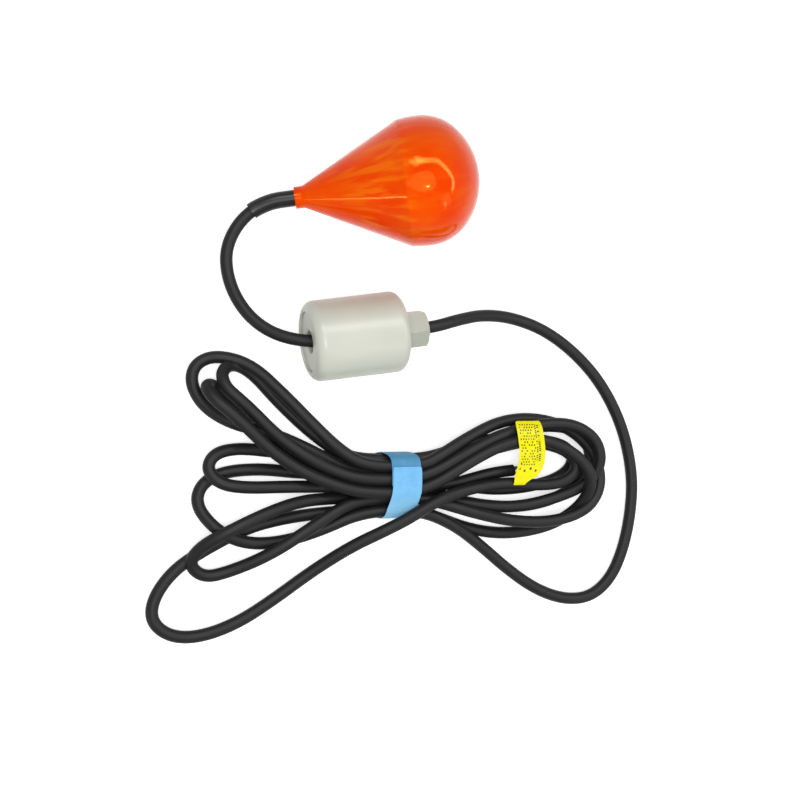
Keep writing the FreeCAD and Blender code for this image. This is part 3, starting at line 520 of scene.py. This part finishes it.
STRAP_TURN = [across(STRAP_X + STRAP_LEAN * z / STRAP_TOP, y, z, STRAP_WIDTH) for y, z in STRAP_PATH]
STRAP_STEPS = 9
STRAP_THICKNESS = 0.0007
STRAP_CROWN = 0.0002    # how far its middle stands above its edges
PAINTED_SHADE_START = 100.0     # mm of the turn, from the free end, before the painted shade of the upper band begins
MM = 1000               # millimetres in a metre, for the maps of strap and label


def ribbon(name, rows, steps, sag, finish):
    """A thin sheet through rows of (left x, left y, right x, right y, z), its UV map in millimetres."""
    shape = bmesh.new()
    cloth_map = shape.loops.layers.uv.new("cloth")
    grid, reach, last = [], 0.0, None
    for left_x, left_y, right_x, right_y, z in rows:
        left, right = Vector((left_x, left_y, z)), Vector((right_x, right_y, z))
        middle = (left + right) / 2
        reach += (middle - last).length * MM if last else 0
        last = middle
        row = []
        for step in range(steps):
            share = step / (steps - 1)
            place = left.lerp(right, share) - Vector((0, 0, sag * math.sin(math.pi * share)))
            row.append((shape.verts.new(place), (share * (right - left).length * MM, reach)))
        grid.append(row)
    for row, after in zip(grid, grid[1:]):
        for near in range(steps - 1):
            corners = (row[near], after[near], after[near + 1], row[near + 1])
            face = shape.faces.new([corner for corner, _ in corners])
            for loop, (_, spot) in zip(face.loops, corners):
                loop[cloth_map].uv = spot
    mesh = bpy.data.meshes.new(name)
    shape.to_mesh(mesh)
    shape.free()
    mesh.materials.append(finish)
    piece = bpy.data.objects.new(name, mesh)
    scene.collection.objects.link(piece)
    return piece


def thicken(piece, thickness):
    wall = piece.modifiers.new("thickness", "SOLIDIFY")
    wall.thickness = thickness
    wall.offset = 0
    smoothing = piece.modifiers.new("smoothing", "SUBSURF")
    smoothing.levels = smoothing.render_levels = 2


def strap():
    """Soft wrap strap, its free end lapped over the top."""
    piece = ribbon("strap", STRAP_TURN, STRAP_STEPS, -STRAP_CROWN, strap_cloth())
    thicken(piece, STRAP_THICKNESS)
    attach(piece, "root")
    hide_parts("hank_strap")


def strap_cloth():
    """Soft blue tape with tiny dimples; painted light makes it paler down the side away from the float and
    under the strands, and painted shade makes it darker past the lap, up the float's side and over the top.
    """
    material = bpy.data.materials.new("strap")
    material.use_nodes = True
    tree = material.node_tree
    shader = tree.nodes["Principled BSDF"]
    sheet = node(tree, "ShaderNodeUVMap", uv_map="cloth")
    parts = node(tree, "ShaderNodeSeparateXYZ")
    tree.links.new(sheet.outputs["UV"], parts.inputs[0])
    along = parts.outputs["Y"]
    dimples = node(tree, "ShaderNodeTexVoronoi")
    dimples.inputs["Scale"].default_value = 1.1
    tree.links.new(sheet.outputs["UV"], dimples.inputs["Vector"])
    mask = span(tree, dimples.outputs["Distance"], 0.08, 0.4, 1, 0)
    patch = span(tree, noise(tree, 120, 3), 0.4, 0.65, 0, 1)
    flap = blend_colours(tree, patch, (0.155, 0.5, 0.9, 1), (0.2, 0.58, 0.95, 1))
    # painted light: from 30 mm on, the turn is painted paler down the side away from the float and under the
    # strands
    near = blend_colours(tree, span(tree, along, 14, 30, 0, 1), flap, (0.3, 0.68, 1.0, 1))
    # painted shade: darker blue painted on the band up the float's side and over the top, past the lap
    painted_shade_band = blend_colours(tree, patch, (0.06, 0.29, 0.52, 1), (0.08, 0.34, 0.6, 1))
    shade = blend_colours(tree, span(tree, along, PAINTED_SHADE_START, PAINTED_SHADE_START + 8, 0, 1), near, painted_shade_band)
    # painted shade: the dimples' pits are painted darker blue where the bump sinks them
    colour = blend_colours(tree, product(tree, mask, 0.3), shade, (0.07, 0.34, 0.72, 1))
    relief = node(tree, "ShaderNodeBump")
    relief.inputs["Strength"].default_value = 0.5
    relief.inputs["Distance"].default_value = 0.00015
    tree.links.new(product(tree, mask, -1.0), relief.inputs["Height"])
    tree.links.new(colour, shader.inputs["Base Color"])
    tree.links.new(relief.outputs["Normal"], shader.inputs["Normal"])
    shader.inputs["Roughness"].default_value = 0.65
    shader.inputs["Specular IOR Level"].default_value = 0.25
    shader.inputs["Sheen Weight"].default_value = 0.15
    return material


# ---- label ----
# down the label from its top edge, narrowing to a torn tongue: the middle's x, y and z, and the width
LABEL_ROWS = [across(*row) for row in (
    (0.121, -0.1155, 0.0262, 0.019), (0.1215, -0.120, 0.0285, 0.020), (0.122, -0.125, 0.0298, 0.020),
    (0.1225, -0.130, 0.0302, 0.020), (0.1235, -0.1355, 0.0296, 0.020), (0.124, -0.1405, 0.0278, 0.020),
    (0.1245, -0.1455, 0.0256, 0.020), (0.1235, -0.150, 0.0240, 0.020), (0.122, -0.154, 0.0232, 0.018),
    (0.1195, -0.1565, 0.0228, 0.014), (0.1175, -0.159, 0.0220, 0.0095), (0.117, -0.161, 0.0208, 0.009))]
LABEL_STEPS = 11
LABEL_THICKNESS = 0.0004


def label():
    """Printed film flag, draped over the turns."""
    piece = ribbon("label", LABEL_ROWS, LABEL_STEPS, 0.0, label_print())
    thicken(piece, LABEL_THICKNESS)
    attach(piece, "root")
    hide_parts("cable_label")


def ticks(tree, source, width, height, gap, skip):
    """Rows of short plain ticks, some left out, as a mask."""
    bricks = node(tree, "ShaderNodeTexBrick")
    bricks.offset = 0.37
    settings = (("Scale", 1.0), ("Brick Width", width), ("Row Height", height), ("Mortar Size", gap),
                ("Mortar Smooth", 0.1), ("Color1", (1, 1, 1, 1)), ("Color2", (0, 0, 0, 1)),
                ("Mortar", (0, 0, 0, 1)))
    for title, value in settings:
        bricks.inputs[title].default_value = value
    tree.links.new(source, bricks.inputs["Vector"])
    return span(tree, bricks.outputs["Color"], skip, skip + 0.15, 0, 1)


def within(tree, value, low, high):
    """One between two values, nothing outside them."""
    return product(tree, product(tree, value, low, "GREATER_THAN"), product(tree, value, high, "LESS_THAN"))


def label_print():
    """Bright yellow film with rows of tiny plain ticks and two broken rules down one side."""
    material = bpy.data.materials.new("label")
    material.use_nodes = True
    tree = material.node_tree
    shader = tree.nodes["Principled BSDF"]
    sheet = node(tree, "ShaderNodeUVMap", uv_map="cloth")
    parts = node(tree, "ShaderNodeSeparateXYZ")
    tree.links.new(sheet.outputs["UV"], parts.inputs[0])
    aside, down = parts.outputs["X"], parts.outputs["Y"]
    turned = node(tree, "ShaderNodeCombineXYZ")
    tree.links.new(down, turned.inputs["X"])
    tree.links.new(aside, turned.inputs["Y"])
    fine = product(tree, ticks(tree, sheet.outputs["UV"], 1.9, 2.1, 0.5, 0.25),
                   product(tree, within(tree, aside, 1.4, 13.2), within(tree, down, 2.6, 33.0)))
    rules = product(tree, ticks(tree, turned.outputs[0], 1.5, 2.1, 0.3, 0.1),
                    product(tree, within(tree, aside, 13.4, 17.2), within(tree, down, 2.2, 30.0)))
    marks = product(tree, ticks(tree, turned.outputs[0], 4.4, 4.2, 1.4, 0.2),
                    product(tree, within(tree, aside, 2.0, 15.5), within(tree, down, 30.5, 39.0)))
    ink = product(tree, product(tree, fine, rules, "MAXIMUM"), marks, "MAXIMUM")
    mottle = span(tree, noise(tree, 200, 2), 0.4, 0.7, 0, 1)
    film = blend_colours(tree, mottle, (1.0, 0.95, 0.0, 1), (0.97, 0.88, 0.0, 1))
    colour = blend_colours(tree, product(tree, ink, 0.92), film, (0.03, 0.028, 0.01, 1))
    relief = node(tree, "ShaderNodeBump")
    relief.inputs["Strength"].default_value = 0.4
    relief.inputs["Distance"].default_value = 0.0001
    tree.links.new(mottle, relief.inputs["Height"])
    tree.links.new(colour, shader.inputs["Base Color"])
    tree.links.new(relief.outputs["Normal"], shader.inputs["Normal"])
    shader.inputs["Roughness"].default_value = 0.35
    shader.inputs["Specular IOR Level"].default_value = 0.1
    return material


# ---- room ----
FLOOR_REACH = 4.0
FLOOR_GLOW = 0.62       # added where the eye meets the floor
AIR_LIGHT = 0.42        # what the air lights the object with
AIR_SEEN = 1.0


def seen(tree):
    """One for the rays that the eye meets, straight, in gloss or through clear things, else nothing."""
    rays = node(tree, "ShaderNodeLightPath")
    straight_or_gloss = product(tree, rays.outputs["Is Camera Ray"], rays.outputs["Is Glossy Ray"], "MAXIMUM")
    return product(tree, straight_or_gloss, rays.outputs["Is Transmission Ray"], "MAXIMUM")


def floor():
    """Pale floor that stays white to the eye and keeps a soft shadow."""
    mesh = bpy.data.meshes.new("floor")
    corners = [(x * FLOOR_REACH, y * FLOOR_REACH, 0) for x, y in ((-1, -1), (1, -1), (1, 1), (-1, 1))]
    mesh.from_pydata(corners, [], [(0, 1, 2, 3)])
    material = bpy.data.materials.new("floor")
    material.use_nodes = True
    tree = material.node_tree
    tree.nodes.clear()
    out = node(tree, "ShaderNodeOutputMaterial")
    paint = node(tree, "ShaderNodeBsdfDiffuse")
    paint.inputs["Color"].default_value = (0.8, 0.8, 0.8, 1)
    glow = node(tree, "ShaderNodeEmission")
    glow.inputs["Color"].default_value = (1, 1, 1, 1)
    tree.links.new(product(tree, seen(tree), FLOOR_GLOW), glow.inputs["Strength"])
    both = node(tree, "ShaderNodeAddShader")
    tree.links.new(paint.outputs[0], both.inputs[0])
    tree.links.new(glow.outputs[0], both.inputs[1])
    tree.links.new(both.outputs[0], out.inputs["Surface"])
    mesh.materials.append(material)
    piece = bpy.data.objects.new("floor", mesh)
    scene.collection.objects.link(piece)


def softbox(name, place, size, power, towards=AIM, shape="RECTANGLE", height=None, only_gloss=False):
    """A soft lamp; one that is only for gloss shows in shiny surfaces and lights nothing else."""
    lamp = bpy.data.lights.new(name, "AREA")
    lamp.shape = shape
    lamp.size = size
    if height:
        lamp.size_y = height
    lamp.energy = power
    holder = bpy.data.objects.new(name, lamp)
    holder.location = place
    aim = Vector(towards) - Vector(place)
    holder.rotation_euler = aim.to_track_quat("-Z", "Y").to_euler()
    holder.visible_diffuse = not only_gloss
    scene.collection.objects.link(holder)


def room():
    """White air, two soft lamps, and strips and small lamps that only gloss shows."""
    world = bpy.data.worlds.new("room")
    scene.world = world
    world.use_nodes = True
    tree = world.node_tree
    tree.nodes.clear()
    out = node(tree, "ShaderNodeOutputWorld")
    air = node(tree, "ShaderNodeBackground")
    air.inputs["Color"].default_value = (1, 1, 1, 1)
    tree.links.new(span(tree, seen(tree), 0, 1, AIR_LIGHT, AIR_SEEN), air.inputs["Strength"])
    tree.links.new(air.outputs[0], out.inputs["Surface"])
    softbox("key", (-0.25, -0.2, 1.3), 0.85, 9.3, shape="DISK")
    softbox("fill", (0.75, -0.75, 0.9), 0.5, 2.0, height=0.5)
    softbox("window", (-0.46, 0.575, 1.1), 0.3, 5.0, height=0.3, only_gloss=True)
    softbox("back_strip", (-0.1, 0.56, 1.1), 0.72, 8.0, towards=(-0.1, -0.1, 0), height=0.18,
            only_gloss=True)
    softbox("corner_strip", (0.7, 0.31, 1.1), 1.0, 10.5, towards=(0.39, -0.23, 0), height=0.16,
            only_gloss=True)
    softbox("side_strip", (1.15, -0.18, 1.05), 0.45, 5.0, towards=(0.3, -0.18, 0), height=0.14,
            only_gloss=True)
    softbox("low_strip", (-1.0, -0.6, 0.3), 0.02, 1.6, height=0.5, only_gloss=True)
    softbox("small_lamp", (-0.156, -0.328, 1.1), 0.035, 4.0, shape="DISK", only_gloss=True)
    softbox("second_lamp", (0.913, -1.095, 1.1), 0.04, 3.0, shape="DISK", only_gloss=True)
    floor()


add_camera()
lead()
strap()
label()
dress_nodes()
room()

scene.view_settings.view_transform = "Standard"
